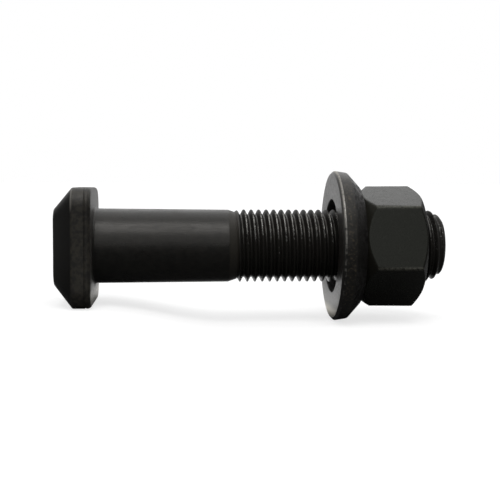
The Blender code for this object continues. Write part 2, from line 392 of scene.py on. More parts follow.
def windThread(name, tree, low, high, gap, fadeStart, finish):
    # a closed threaded rod that reaches past both heights, grown by gap all round; only the bolt's
    # own, without a gap, gets smaller towards the tip
    pitch = thread["pitch"]
    crest = thread["diameter"] / 2.0 + gap
    root = crest - thread["depth"] * pitch
    crestAtZero = thread["firstCrest"] - pitch * thread["clocking"] / (2.0 * math.pi)
    before = math.ceil((crestAtZero - low) / pitch) + 1
    turns = math.ceil((high - low) / pitch) + 3
    item = makeObject(name, bpy.data.meshes.new(name))
    winding = item.modifiers.new("Wound thread", "NODES")
    winding.node_group = tree
    sizes = {
        "Pitch": pitch,
        "Crest Radius": crest,
        "Root Radius": root,
        "Sharp Radius": crest + thread["cut"] * pitch,
        "Crest Softness": thread["crestSoftness"],
        "Root Softness": thread["rootSoftness"],
        "Flank Slope": 1.0 / math.tan(thread["flankAngle"]),
        "First Root": crestAtZero - pitch * (before + 0.5),
        "Blank Radius": (crest + root) / 2.0,
        "Fade Start": fadeStart,
        "Fade End": fadeStart + thread["fadeLength"],
        "Seam Depth": thread["seamDepth"],
        "Seam Reach": thread["seamReach"],
        "Tip Start": tipHeight - thread["tipReach"],
        "Tip End": tipHeight,
        "Tip Drop": thread["tipDrop"] if gap == 0.0 else 0.0,
        "Tip Depth": thread["tipDepth"] if gap == 0.0 else 1.0,
        "Tip Curve": thread["tipCurve"],
        "Gather": thread["gather"],
        "Merge Reach": thread["mergeReach"],
        "Turns": turns,
        "Steps": thread["stepsPerTurn"],
        "Points": thread["pointsPerPitch"],
        "Finish": finish,
    }
    for socket in tree.interface.items_tree:
        if socket.in_out == "INPUT":
            winding[socket.identifier] = sizes[socket.name]
    mesh = evaluatedMesh(item)
    bm = bmesh.new()
    bm.from_mesh(mesh)
    rim = [edge for edge in bm.edges if edge.is_boundary]
    middle = (low + high) / 2.0
    for upper in (False, True):
        end = [edge for edge in rim if (edge.verts[0].co.z > middle) == upper]
        level = sum(v.co.z for edge in end for v in edge.verts) / (2.0 * len(end))
        centre = bm.verts.new((0.0, 0.0, level))
        for edge in end:
            bm.faces.new((centre, edge.verts[0], edge.verts[1]))
    bmesh.ops.recalc_face_normals(bm, faces=bm.faces)
    bm.to_mesh(mesh)
    bm.free()
    return mesh


# The bolt


def squareRadius(angle, half, corner):
    # how far a rounded square's outline is from its middle, in one direction
    folded = abs((angle + math.pi / 4.0) % (math.pi / 2.0) - math.pi / 4.0)
    flatEnd = half - corner
    if half * math.tan(folded) <= flatEnd:
        return half / math.cos(folded)
    towards = flatEnd * (math.cos(folded) + math.sin(folded))
    aside = flatEnd * (math.sin(folded) - math.cos(folded))
    return towards + math.sqrt(corner * corner - aside * aside)


def squareRing(half, corner, height, count):
    turns = [2.0 * math.pi * i / count for i in range(count)]
    return [polar(squareRadius(angle, half, corner), angle, height) for angle in turns]


def headAndShank():
    count = bolt["ringPoints"]
    half = bolt["headAcross"] / 2.0
    endHalf = bolt["endAcross"] / 2.0
    taperTop = -bolt["headHeight"] + bolt["taperHeight"]
    trim = bolt["trimPlace"]
    trimmed = half - bolt["trimDepth"]
    beyond = half - bolt["trimStep"]
    outline = roundCorners([
        (capRadius, -bolt["headHeight"], 0.0),
        (endHalf / 2.0, -bolt["headHeight"], 0.0),
        (endHalf, -bolt["headHeight"], bolt["endRound"]),
        (half, taperTop, bolt["taperRound"]),
        (half, -trim - bolt["trimLower"], 0.0),
        (trimmed, -trim - bolt["trimFloor"], 0.0),
        (trimmed, -trim + bolt["trimFloor"], 0.0),
        (beyond, -trim + bolt["trimUpper"], 0.0),
        (beyond, 0.0, bolt["bearingRound"]),
        (bolt["shankAtHead"], 0.0, 0.0),
    ])
    outline.pop()      # the last point only shows which way the bearing face runs
    rings = [
        squareRing(size, bolt["headCorner"] * size / half, height, count) for size, height in outline]
    neckEnd = bolt["neckStart"] + bolt["neckLength"]
    neckRadius = thread["diameter"] / 2.0 - thread["depth"] * thread["pitch"] / 2.0 - bolt["neckDip"]
    shank = roundCorners([
        (half, 0.0, 0.0),
        (bolt["shankAtHead"], 0.0, bolt["filletRadius"]),
        (bolt["shankAtNeck"], bolt["neckStart"], bolt["neckRound"]),
        (neckRadius, neckEnd, 0.0),
    ])
    rings += [circle(radius, height, count) for radius, height in shank[1:]]
    rings.append(circle(capRadius, neckEnd, count))
    return loft("headAndShank", rings)


def forgeSkin(mesh):
    # the head's skin dips a little, as a hot forging's does; it never rises past its true size
    grain = 1.0 / bolt["skinGrain"]
    for vertex in mesh.vertices:
        if vertex.co.z < -bolt["skinStart"]:
            dip = 0.5 + 0.5 * noise.noise(vertex.co * grain)
            share = min(1.0, -vertex.co.z / bolt["skinFull"])
            outward = Vector((vertex.co.x, vertex.co.y, 0.0)).normalized()
            if vertex.co.z < -bolt["headHeight"] + bolt["skinEnd"]:
                outward = Vector((0.0, 0.0, -1.0))
            vertex.co -= outward * bolt["skinDepth"] * dip * share


def tipTool():
    # what the threaded rod keeps: its length, with the tip's flat end and chamfer
    beyond = thread["diameter"] / 2.0 + bolt["toolReach"]
    edge = bolt["tipEdge"]
    outline = roundCorners([
        (capRadius, tipHeight, 0.0),
        (edge - bolt["tipRing"], tipHeight, 0.0),
        (edge, tipHeight, bolt["tipRound"]),
        (beyond, tipHeight - bolt["tipSlope"] * (beyond - edge), 0.0),
        (beyond, bolt["neckStart"], 0.0),
        (capRadius, bolt["neckStart"], 0.0),
    ])
    rings = [circle(radius, height, bolt["tipPoints"]) for radius, height in outline]
    return loft("tipTool", rings)


def makeBolt(tree, finish):
    fadeStart = thread["firstCrest"] - thread["fadeLength"] - thread["pitch"] / 2.0
    rod = windThread("rolledThread", tree, bolt["neckStart"], tipHeight, 0.0, fadeStart, finish)
    rod = combine(rod, "INTERSECT", tipTool())
    body = headAndShank()
    forgeSkin(body)
    mesh = combine(body, "UNION", rod)
    item = finishMesh(mesh, "forgedBolt", finish, bolt["sharpDegrees"])
    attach(item, "bolt")
    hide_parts("square_head_bolt")


# The nut

flatsTurn = math.radians(-90.0) - nut["turn"]      # one flat faces the front, less the nut's turn


def softMin(a, b, softness):
    blend = max(softness - abs(a - b), 0.0) / softness
    return min(a, b) - blend * blend * softness / 4.0


def nutAngles():
    # closer together near the ridges, where the faces meet
    angles = []
    for side in range(6):
        for k in range(nut["pointsPerFlat"]):
            s = -1.0 + 2.0 * k / nut["pointsPerFlat"]
            angles.append(math.radians(60.0 * side + 30.0 * math.sin(s * math.pi / 2.0)))
    return angles


def nutRing(height, base, end):
    apothem = nut["across"] / 2.0
    corner = apothem / math.cos(math.radians(30.0))
    fromBase = nut["baseRadius"] + (height - base) * (corner - nut["baseRadius"]) / nut["baseChamfer"]
    fromEnd = nut["endRadius"] + (end - height) * (corner - nut["endRadius"]) / nut["endChamfer"]
    ring = []
    for angle in nutAngles():
        off = abs((angle + math.radians(30.0)) % math.radians(60.0) - math.radians(30.0))
        radius = softMin(
            apothem / math.cos(off), apothem / math.cos(math.radians(60.0) - off), nut["ridgeRound"])
        radius = softMin(radius, softMin(fromBase, fromEnd, nut["ridgeRound"]), nut["ridgeRound"])
        ring.append(polar(radius, angle + flatsTurn, height))
    return ring


def nutCircle(radius, height):
    return [polar(radius, angle + flatsTurn, height) for angle in nutAngles()]


def makeNut(tree, finish):
    base = washerHigh.x - bearingX + nut["washerGap"]
    end = nutHigh.x - bearingX
    thrust = washerLow.x - bearingX
    flareTop = thrust + nut["flareBack"]
    collarEnd = flareTop - nut["flareThickness"]
    outline = roundCorners([
        (capRadius, collarEnd, 0.0),
        (nut["flareRadius"], collarEnd, nut["flareRound"]),
        (nut["flareRadius"], flareTop - nut["flareEdge"], nut["flareEdgeRound"]),
        (nut["collarRadius"], flareTop, 0.0),
        (nut["collarRadius"], base, nut["collarRound"]),
        (nut["baseRadius"] - nut["faceInset"], base, 0.0),
    ], nut["roundSteps"])
    rings = [nutCircle(radius, height) for radius, height in outline]
    steps = nut["bandSteps"]
    rises = [nut["bandHeight"] * (k / steps) ** nut["bandGather"] for k in range(steps + 1)]
    heights = [base + rise for rise in rises] + [end - rise for rise in reversed(rises)]
    rings += [nutRing(height, base, end) for height in heights]
    rings.append(nutCircle(nut["endRadius"] - nut["faceInset"], end))
    rings.append(nutCircle(capRadius, end))
    blank = loft("nutBlank", rings)
    unfaded = collarEnd - nut["fadeBack"]
    plug = windThread("tappedThread", tree, collarEnd, end, nut["threadGap"], unfaded, finish)
    mouthRadius = thread["diameter"] / 2.0 + nut["boreMouth"]
    for vertex in plug.vertices:      # the bore opens in a short countersink at both ends
        radius = math.hypot(vertex.co.x, vertex.co.y)
        inside = min(end - vertex.co.z, vertex.co.z - collarEnd + nut["mouthLess"])
        if capRadius < radius < mouthRadius - inside:
            wanted = min(mouthRadius - inside, mouthRadius + nut["mouthReach"])
            vertex.co.x *= wanted / radius
            vertex.co.y *= wanted / radius
    mesh = combine(blank, "DIFFERENCE", plug)
    item = finishMesh(mesh, "hexagonNut", finish, nut["sharpDegrees"])
    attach(item, "nut")
    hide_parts("hex_nut")


# The thrust washer


def makeWasher(finish):
    face = washerLow.x - bearingX
    top = washerHigh.x - bearingX
    outer = washerHigh.z
    outline = roundCorners([
        (washer["boreRadius"], top, washer["boreRound"]),
        (washer["topRadius"], top, washer["backRound"]),
        (washer["rearRadius"], face + washer["rimThickness"], washer["backRound"]),
        (outer, face + washer["edgeChamfer"], washer["edgeRound"]),
        (outer - washer["edgeChamfer"], face, washer["faceRound"]),
        (washer["recessRadius"], face, washer["recessRound"]),
        (washer["recessRadius"], face + washer["recessDepth"], washer["innerRound"]),
        (washer["boreRadius"], face + washer["recessDepth"], washer["innerRound"]),
    ])
    rings = [circle(point.x, point.y, washer["ringPoints"]) for point in outline]
    mesh = loft("thrustWasher", rings, closed=True)
    item = finishMesh(mesh, "turnedWasher", finish, washer["sharpDegrees"])
    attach(item, "washer")
    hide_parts("thrust_washer")


# Finishes: manganese phosphate, oiled, is a dense dark grey to black crystal coat on steel.
# It hides the metal, has a soft sheen, and wears to bare bright steel on sharp edges.
#
# In their settings a pair of numbers is where a mask rises from 0 to 1: in millimetres from the
# bearing face, the axis or a place named in the finish, by how much the surface faces the tip,
# or by a noise's level. Four numbers are a band, which falls back to 0.

coat = {
    "patchDetail": 5.0,
    "colorLevels": (0.35, 0.68),
    "roughLevels": (0.3, 0.7),
    "grainDetail": 3.0,
    "noiseRoughness": 0.6,
}


def startFinish(name, look):
    material = bpy.data.materials.new(name)
    material.use_nodes = True
    tree = material.node_tree
    shader = tree.nodes["Principled BSDF"]
    shader.inputs["Specular IOR Level"].default_value = look["specular"]
    shader.inputs["Specular Tint"].default_value = linearColor(look["tint"])
    place = addNode(tree, "ShaderNodeTexCoord").outputs["Object"]
    inMillimetres = addNode(tree, "ShaderNodeMapping", {"Vector": place, "Scale": (1000.0,) * 3})
    patches = addNoise(tree, inMillimetres, look["patchSize"], coat["patchDetail"])
    grain = addNoise(tree, inMillimetres, look["grainSize"], coat["grainDetail"])
    color = addNode(tree, "ShaderNodeValToRGB", {0: patches})
    shades = zip(color.color_ramp.elements, coat["colorLevels"], (look["dark"], look["light"]))
    for element, level, shade in shades:
        element.position = level
        element.color = linearColor(shade)
    rough = addRange(tree, patches, coat["roughLevels"], (look["roughLow"], look["roughHigh"]))
    bump = addNode(
        tree, "ShaderNodeBump",
        {"Height": grain, "Strength": 1.0, "Distance": look["grainDepth"] * 0.001})
    tree.links.new(color.outputs["Color"], shader.inputs["Base Color"])
    tree.links.new(rough.outputs[0], shader.inputs["Roughness"])
    tree.links.new(bump.outputs["Normal"], shader.inputs["Normal"])
    return material, tree, shader, inMillimetres


def addNoise(tree, place, size, detail, stretch=(1.0, 1.0, 1.0)):
    scaled = addNode(
        tree, "ShaderNodeMapping", {"Vector": place, "Scale": [1.0 / (size * s) for s in stretch]})
    cloud = addNode(
        tree, "ShaderNodeTexNoise",
        {"Vector": scaled, "Scale": 1.0, "Detail": detail, "Roughness": coat["noiseRoughness"]})
    return cloud.outputs["Fac"]


def addProduct(tree, *masks):
    product = masks[0]
    for mask in masks[1:]:
        product = addMath(tree, "MULTIPLY", product, mask)
    return product


def addRange(tree, value, span, result):
    # the value goes from one result to the other over the span, and stays there beyond it
    return addNode(
        tree, "ShaderNodeMapRange", {0: value, 1: span[0], 2: span[1], 3: result[0], 4: result[1]})


def addRise(tree, value, span, at=0.0):
    # rises smoothly from 0 to 1 over the span, upwards or downwards as the span is given
    return addNode(
        tree, "ShaderNodeMapRange", {0: value, 1: at + span[0], 2: at + span[1]},
        interpolation_type="SMOOTHSTEP")


def addBand(tree, value, span, at=0.0):
    start, full, fullEnd, end = span
    return addProduct(
        tree, addRise(tree, value, (start, full), at), addRise(tree, value, (end, fullEnd), at))


def addPatches(tree, place, patches):
    cloud = addNoise(
        tree, place, patches["size"], patches["detail"], patches.get("stretch", (1.0, 1.0, 1.0)))
    return addRise(tree, cloud, patches["levels"])


def measures(tree, place):
    # how far along the bolt, in millimetres from the bearing face, how far from its axis and how
    # far above it, and how much the surface faces the tip
    x, y, z = addNode(tree, "ShaderNodeSeparateXYZ", {0: place}).outputs
    height = addMath(tree, "SUBTRACT", x, bearingX)
    radius = addMath(tree, "MULTIPLY_ADD", y, y, addMath(tree, "MULTIPLY", z, z))
    radius = addMath(tree, "SQRT", radius)
    facing = addNode(tree, "ShaderNodeNewGeometry").outputs["True Normal"]
    facing = addNode(tree, "ShaderNodeSeparateXYZ", {0: facing}).outputs[0]
    return height, radius, z, facing


inputNames = {
    "color": "Base Color", "metal": "Metallic", "rough": "Roughness", "shine": "Specular IOR Level"}


def overlay(tree, shader, mask, changes):
    # where the mask is 1, the shader's inputs take these values instead
    for name, value in changes.items():
        target = shader.inputs[inputNames[name]]
        isColor = target.type == "RGBA"
        mix = addNode(tree, "ShaderNodeMix", {0: mask}, data_type="RGBA" if isColor else "FLOAT")
        before, after = (mix.inputs[6], mix.inputs[7]) if isColor else (mix.inputs[2], mix.inputs[3])
        if target.links:
            tree.links.new(target.links[0].from_socket, before)
        else:
            before.default_value = target.default_value
        if isinstance(value, (float, str)):
            after.default_value = linearColor(value) if isColor else value
        else:
            tree.links.new(value.outputs[0], after)
        tree.links.new(mix.outputs[2 if isColor else 0], target)


boltLook = {
    "dark": "#0d0d0c",
    "light": "#171614",
    "specular": 0.22,
    "tint": "#fffcf7",
    "patchSize": 2.6,
    "grainSize": 0.3,
    "grainDepth": 0.03,
    "roughLow": 0.28,
    "roughHigh": 0.4,

    "head": {"color": "#11100f", "rough": 0.48, "shine": 0.28},
    "headTo": (0.4, -0.1),
    "stain": {"color": "#23211c"},
    "stains": {"size": 1.3, "detail": 4.0, "levels": (0.38, 0.62)},
    # painted shade: the taper is coloured darker than the head, where light does not fall on it
    "taper": {"color": "#0a0a09", "rough": 0.4, "shine": 0.06},
    "taperTo": (0.1, -0.4),
    "flatEnd": {"color": "#171614", "shine": 0.25},
    "flatEndFacing": (-0.85, -0.97),
    # painted highlight on the upper part of the edge between the taper and the sides
    "paintedHighlightEdge": {"color": "#4a4844", "shine": 0.4},
    "paintedHighlightEdgeBand": (-0.35, -0.05, 0.1, 0.4),
    "paintedHighlightEdgeAbove": (10.0, 13.0),

    "bearing": {"color": "#1f1e1c"},
    "bearingFrom": (-0.35, -0.1),
    "bearingFacing": (0.7, 0.95),
    "bearingRadius": (12.0, 13.0),
    "scuff": {"color": "#3b3936"},
    "scuffs": {"size": 1.4, "detail": 5.0, "levels": (0.34, 0.68)},
    # painted highlight on the lower part of the bearing face
    "paintedHighlightFace": {"color": "#cfccc4", "metal": 0.4, "rough": 0.25},
    "paintedHighlightFaceAbove": (-10.0, -15.0),
    "paintedHighlightFaceLeast": 0.4,      # how strong the painted highlight is between the scuffs

    "shankFrom": (0.2, 1.2),
    "shankTo": (0.6, -0.4),
    "lines": {"size": 0.5, "detail": 3.0, "stretch": (14.0, 1.0, 1.0)},
    "linesLevels": (0.3, 0.7),
    "linesRough": (0.22, 0.42),  # from the smoothest line to the roughest
    "linesShare": 0.7,
    "dullShank": {"rough": 0.42},
    "dullPatches": {"size": 2.2, "detail": 5.0, "stretch": (2.0, 1.0, 1.0), "levels": (0.48, 0.7)},
    # painted light: the neck is coloured paler
    "neck": {"color": "#211f1b", "rough": 0.45},
    "neckFrom": (-0.2, 0.4),
    "neckTo": (0.6, 0.0),

    # painted light: the thread is coloured paler against the shade in its grooves
    "thread": {"color": "#1a1917", "rough": 0.24, "shine": 0.1},
    "threadFrom": (0.4, 1.0),
    "threadTop": {"rough": 0.5},
    "threadTopAbove": (8.2, 10.0),
    # painted highlight in the roots, on the upper side only
    "root": {"color": "#2f2e2b", "shine": 0.2},
    "rootRadius": (0.12, 0.06),
    "rootAbove": (1.0, 6.0),
    "rootTo": (-8.0, -9.0),
    "tip": {"rough": 0.5, "shine": 0.08},
    "tipFrom": (-3.6, -3.0),
    "tipFacing": (0.25, 0.5),

    # bare steel on the crests, with a painted highlight: it is placed most where light falls, on the
    # upper side
    "wornCrestAndHighlight": {"color": "#787774", "metal": 1.0, "rough": 0.24},
    "highlightAbove": (-1.0, 6.0, 9.6, 10.9),
    "highlightShare": 0.32,
    "wornPatches": {"size": 0.9, "detail": 3.0},
    "wearAndHighlightLevels": (0.66, 0.8),
    "crestRadius": (-0.08, -0.03),
    "beyondNut": (-7.0, -6.0),
    "beyondNutShare": 0.35,
    # specks of bare steel, placed as painted glints
    "speck": {"color": "#6a6966", "metal": 1.0, "rough": 0.25},
    "specks": {"size": 0.55, "detail": 2.0, "levels": (0.6, 0.68)},
    "specksFrom": (-4.6, -4.0),
    "specksFacing": (0.45, 0.3),
    "specksAbove": (-3.0, 1.0),
}


def boltFinish():
    look = boltLook
    material, tree, shader, place = startFinish("oiledPhosphateOnForgedSteel", look)
    height, radius, above, facing = measures(tree, place)
    taperTop = bolt["taperHeight"] - bolt["headHeight"]
    neckEnd = bolt["neckStart"] + bolt["neckLength"]
    crest = thread["diameter"] / 2.0
    root = crest - thread["depth"] * thread["pitch"]

    # the head keeps its rough forged skin
    onHead = addRise(tree, height, look["headTo"])
    overlay(tree, shader, onHead, look["head"])
    stains = addPatches(tree, place, look["stains"])
    overlay(tree, shader, addProduct(tree, onHead, stains), look["stain"])
    # the taper is painted darker, as painted shade where light does not fall on it
    onTaper = addRise(tree, height, look["taperTo"], taperTop)
    overlay(tree, shader, onTaper, look["taper"])
    onFlatEnd = addProduct(tree, onTaper, addRise(tree, facing, look["flatEndFacing"]))
    overlay(tree, shader, onFlatEnd, look["flatEnd"])

    # the edge between its taper and its sides is painted paler on its upper part only, a painted
    # highlight where light falls on it
    paintedLight = addProduct(
        tree, addBand(tree, height, look["paintedHighlightEdgeBand"], taperTop),
        addRise(tree, above, look["paintedHighlightEdgeAbove"]))
    overlay(tree, shader, paintedLight, look["paintedHighlightEdge"])

    # its bearing face is scuffed, and painted near-white and partly metallic on its lower part, a
    # painted highlight that is strongest on the scuffs
    onFace = addProduct(
        tree, addRise(tree, height, look["bearingFrom"]), addRise(tree, facing, look["bearingFacing"]),
        addRise(tree, radius, look["bearingRadius"]))
    overlay(tree, shader, onFace, look["bearing"])
    scuffs = addPatches(tree, place, look["scuffs"])
    overlay(tree, shader, addProduct(tree, onFace, scuffs), look["scuff"])
    least = look["paintedHighlightFaceLeast"]
    paintedLight = addProduct(
        tree, onFace, addRise(tree, above, look["paintedHighlightFaceAbove"]),
        addMath(tree, "MULTIPLY_ADD", scuffs, 1.0 - least, least))
    overlay(tree, shader, paintedLight, look["paintedHighlightFace"])

    # the drawn shank has fine lengthwise lines and dull patches
    onShank = addProduct(
        tree, addRise(tree, height, look["shankFrom"]),
        addRise(tree, height, look["shankTo"], bolt["neckStart"]))
    lines = addNoise(tree, place, **look["lines"])
    lined = {"rough": addRange(tree, lines, look["linesLevels"], look["linesRough"])}
    overlay(tree, shader, addProduct(tree, onShank, look["linesShare"]), lined)
    dull = addPatches(tree, place, look["dullPatches"])
    overlay(tree, shader, addProduct(tree, onShank, dull), look["dullShank"])

    # the neck is painted paler, as painted light falling on it from the tip's side
    onNeck = addProduct(
        tree, addRise(tree, height, look["neckFrom"], bolt["neckStart"]),
        addRise(tree, height, look["neckTo"], neckEnd))
    overlay(tree, shader, onNeck, look["neck"])

    # the rolled thread is smoother and duller along its top; it is painted paler than the shank, as
    # painted light against the shade in its grooves, and its roots are painted paler still on the upper
    # side up to the nut, a painted highlight; the tip's chamfer is dull
    onThread = addRise(tree, height, look["threadFrom"], neckEnd)
    overlay(tree, shader, onThread, look["thread"])
    onTop = addProduct(tree, addRise(tree, above, look["threadTopAbove"]), onThread)
    overlay(tree, shader, onTop, look["threadTop"])
    onRoot = addProduct(
        tree, addRise(tree, radius, look["rootRadius"], root), onThread,
        addRise(tree, above, look["rootAbove"]), addRise(tree, height, look["rootTo"], tipHeight))
    overlay(tree, shader, onRoot, look["root"])
    onTip = addProduct(
        tree, addRise(tree, height, look["tipFrom"], tipHeight),
        addRise(tree, facing, look["tipFacing"]))
    overlay(tree, shader, onTip, look["tip"])

    # bare bright steel shows along the thread's crests, less beyond the nut; it is put most on the upper
    # side, as a painted highlight where light falls
    wearAndHighlight = addMath(
        tree, "MULTIPLY_ADD", addBand(tree, above, look["highlightAbove"]), look["highlightShare"],
        addNoise(tree, place, **look["wornPatches"]))
    wearAndHighlight = addRise(tree, wearAndHighlight, look["wearAndHighlightLevels"])
    beyondNut = addRange(
        tree, height, [tipHeight + offset for offset in look["beyondNut"]],
        (1.0, look["beyondNutShare"]))
    onCrest = addProduct(
        tree, addRise(tree, radius, look["crestRadius"], crest), onThread, wearAndHighlight, beyondNut)
    overlay(tree, shader, onCrest, look["wornCrestAndHighlight"])

    # and in small specks of bare steel on the last turns, placed about the axis's height as painted
    # glints
    onTurns = addProduct(
        tree, addRise(tree, height, look["specksFrom"], tipHeight),
        addRise(tree, facing, look["specksFacing"]), addRise(tree, above, look["specksAbove"]),
        addPatches(tree, place, look["specks"]))
    overlay(tree, shader, onTurns, look["speck"])
    return material


nutLook = {
    "dark": "#0f0f0c",
    "light": "#161613",
    "specular": 0.15,
    "tint": "#f8fdf2",
    "patchSize": 1.7,
    "grainSize": 0.35,
    "grainDepth": 0.035,
    "roughLow": 0.2,
    "roughHigh": 0.3,

    # painted light: the base chamfer is coloured paler
    "base": {"color": "#181713", "rough": 0.45},
    "baseTo": (0.6, 0.0),
    "baseFacing": (-0.3, -0.6),
    "end": {"color": "#0f0e0c", "rough": 0.5, "shine": 0.05},
    "endFrom": (-0.4, 0.0),
    "endFacing": (0.3, 0.6),
    # worn ridges, with painted highlights along them
    "ridge": {"color": "#3b3a35", "rough": 0.34},
    "ridgeRadius": (-0.45, -0.15),
    "ridgePatches": {"size": 0.8, "detail": 4.0, "levels": (0.3, 0.6)},
}


def nutFinish():
    look = nutLook
    material, tree, shader, place = startFinish("oiledPhosphateOnForgedNut", look)
    height, radius, _, facing = measures(tree, place)
    baseTop = washerHigh.x - bearingX + nut["baseChamfer"]
    endStart = nutHigh.x - bearingX - nut["endChamfer"]
    corner = nut["across"] / 2.0 / math.cos(math.radians(30.0))

    # its base chamfer is painted paler, as painted light on it, and its end chamfer duller
    onBase = addProduct(
        tree, addRise(tree, height, look["baseTo"], baseTop), addRise(tree, facing, look["baseFacing"]))
    overlay(tree, shader, onBase, look["base"])
    onEnd = addProduct(
        tree, addRise(tree, height, look["endFrom"], endStart), addRise(tree, facing, look["endFacing"]))
    overlay(tree, shader, onEnd, look["end"])

    # its ridges are painted paler: worn, and painted highlights along them
    onRidge = addProduct(
        tree, addRise(tree, radius, look["ridgeRadius"], corner),
        addPatches(tree, place, look["ridgePatches"]))
    overlay(tree, shader, onRidge, look["ridge"])
    return material


washerLook = {
    "dark": "#0d0d0c",
    "light": "#191816",
    "specular": 0.28,
    "tint": "#fffcf6",
    "patchSize": 1.2,
    "grainSize": 0.4,
    "grainDepth": 0.05,
    "roughLow": 0.3,
    "roughHigh": 0.42,

    "thrust": {"color": "#1d1b19", "shine": 0.24},
    "thrustTo": (0.2, 0.05),
    "thrustFacing": (-0.7, -0.95),
    # painted light on the lower part of the thrust face
    "paintedLight": {"color": "#4b4945", "metal": 0.12, "rough": 0.28},
    "paintedLightAbove": (-12.0, -18.0),
    # a painted reflection at its very bottom
    "lowest": {"color": "#d4d1c8", "metal": 0.8},
    "lowestAbove": (-17.5, -20.5),
    "turnedPitch": 0.3,
    "turnedDepth": 0.006,

    "spot": {"color": "#332e26"},
    "spots": {"size": 0.8, "detail": 4.0, "levels": (0.5, 0.66)},
    "rimFrom": (1.1, 1.6),
    "rimTo": (0.0, -0.3),
    "cone": {"color": "#0b0a09", "rough": 0.3, "shine": 0.16},
    "coneFrom": (-0.2, 0.2),
    "dullCone": {"rough": 0.6},
    "dullPatches": {"size": 1.3, "detail": 5.0, "levels": (0.4, 0.6)},

    # bare steel on the outer edge, placed most on the upper side as a painted highlight
    "wornEdgeAndHighlight": {"color": "#716f6b", "metal": 1.0, "rough": 0.3},
    "highlightAbove": (-10.0, 8.0),
    "highlightShare": 0.22,
    "wornPatches": {"size": 1.1, "detail": 4.0},
    "wearAndHighlightLevels": (0.52, 0.72),
    "edgeBand": (0.35, 0.6, 0.95, 1.2),
    "edgeRadius": (-0.45, -0.2),
}


def washerFinish():
    look = washerLook
    material, tree, shader, place = startFinish("oiledPhosphateOnTurnedWasher", look)
    height, radius, above, facing = measures(tree, place)
    face = washerLow.x - bearingX
    rear = face + washer["rimThickness"]

    # the thrust face is turned, and painted paler and more metallic towards its lowest part, as painted
    # light against the shade and dark reflections there
    onFace = addProduct(
        tree, addRise(tree, height, look["thrustTo"], face), addRise(tree, facing, look["thrustFacing"]))
    overlay(tree, shader, onFace, look["thrust"])
    for name in ("paintedLight", "lowest"):
        paintedLight = addProduct(tree, onFace, addRise(tree, above, look[name + "Above"]))
        overlay(tree, shader, paintedLight, look[name])
    rings = addMath(tree, "SINE", addMath(tree, "MULTIPLY", radius, 2.0 * math.pi / look["turnedPitch"]))
    turned = addNode(
        tree, "ShaderNodeBump",
        {"Height": addProduct(tree, rings, onFace), "Distance": look["turnedDepth"] * 0.001,
         "Normal": shader.inputs["Normal"].links[0].from_socket})
    tree.links.new(turned.outputs["Normal"], shader.inputs["Normal"])

    # its rim is spotted, and its cone is dark and uneven
    onSpots = addProduct(
        tree, addRise(tree, height, look["rimFrom"], face), addRise(tree, height, look["rimTo"], rear),
        addPatches(tree, place, look["spots"]))
    overlay(tree, shader, onSpots, look["spot"])
    onCone = addRise(tree, height, look["coneFrom"], rear)
    overlay(tree, shader, onCone, look["cone"])
    dull = addProduct(tree, onCone, addPatches(tree, place, look["dullPatches"]))
    overlay(tree, shader, dull, look["dullCone"])

    # its outer edge is bare bright steel in places, put most on the upper side as a painted highlight
    wearAndHighlight = addMath(
        tree, "MULTIPLY_ADD", addRise(tree, above, look["highlightAbove"]), look["highlightShare"],
        addNoise(tree, place, **look["wornPatches"]))
    onEdge = addProduct(
        tree, addBand(tree, height, look["edgeBand"], face),
        addRise(tree, radius, look["edgeRadius"], washerHigh.z), addRise(tree, wearAndHighlight, look["wearAndHighlightLevels"]))
    overlay(tree, shader, onEdge, look["wornEdgeAndHighlight"])
    return material


# The stage: a white floor under the bolt as it lies, and a white room around it

stage = {
    "white": "#ffffff",
    "paintedShadeColor": "#626262",     # painted shade: the grey that the floor near the bolt shows in the bolt's reflections
    "whiteShare": 0.72,          # how much of the seen floor is plain white, without a shadow
    "paintedShadeEdge": 0.01,           # where its white part starts behind the bolt, in metres
    "whiteEdge": 0.04,
    "roomFill": 0.2,
    "sideMirror": 0.1,           # how bright the room's sides look in the dark coat
    "sideFade": (0.8, 0.45),     # where the bright backdrop in the coat ends, as directions
    "frontFade": (-0.05, 0.2),
    "floorSize": 40.0,           # in metres
    "floorGap": 0.02,            # in millimetres, as the slope's sizes are
    "slopeStart": 1.5,           # from the head's bearing face
    "slopeLength": 38.0,
    "slopeSteps": 24,
}

# in degrees: how wide a lamp looks, how high it stands, as an angle up from the front, and how
# far it leans towards the tip
lamps = {
    "keyLamp": {"strength": 1.8, "width": 34.0, "fromFront": 63.0},
    "topLamp": {"strength": 0.5, "width": 46.0, "fromFront": 98.0},
    "backLamp": {"strength": 0.18, "width": 36.0, "fromFront": 140.0},
    "frontLamp": {"strength": 0.8, "width": 50.0, "fromFront": 28.0},
    "headSideLamp": {"strength": 0.8, "width": 50.0, "fromFront": 100.0, "lean": -50.0},
    "tipSideLamp": {"strength": 0.8, "width": 50.0, "fromFront": 100.0, "lean": 50.0},
}

# the photo's camera, in millimetres: it stands off the axis, beside a point of the bolt that is
# footFromHead from the bearing face
viewpoint = {
    "sensorWidth": 36.0,
    "focalPixels": 1002.5,
    "framePixels": 500.0,
    "distance": 307.7,
    "footFromHead": 22.85,
    "elevation": math.radians(3.62),
    "yaw": math.radians(4.54),
    "dip": math.radians(0.253),
    "roll": math.radians(0.04),
    "nearest": 10.0,             # what it can see, nearest and farthest
    "farthest": 100000.0,
}


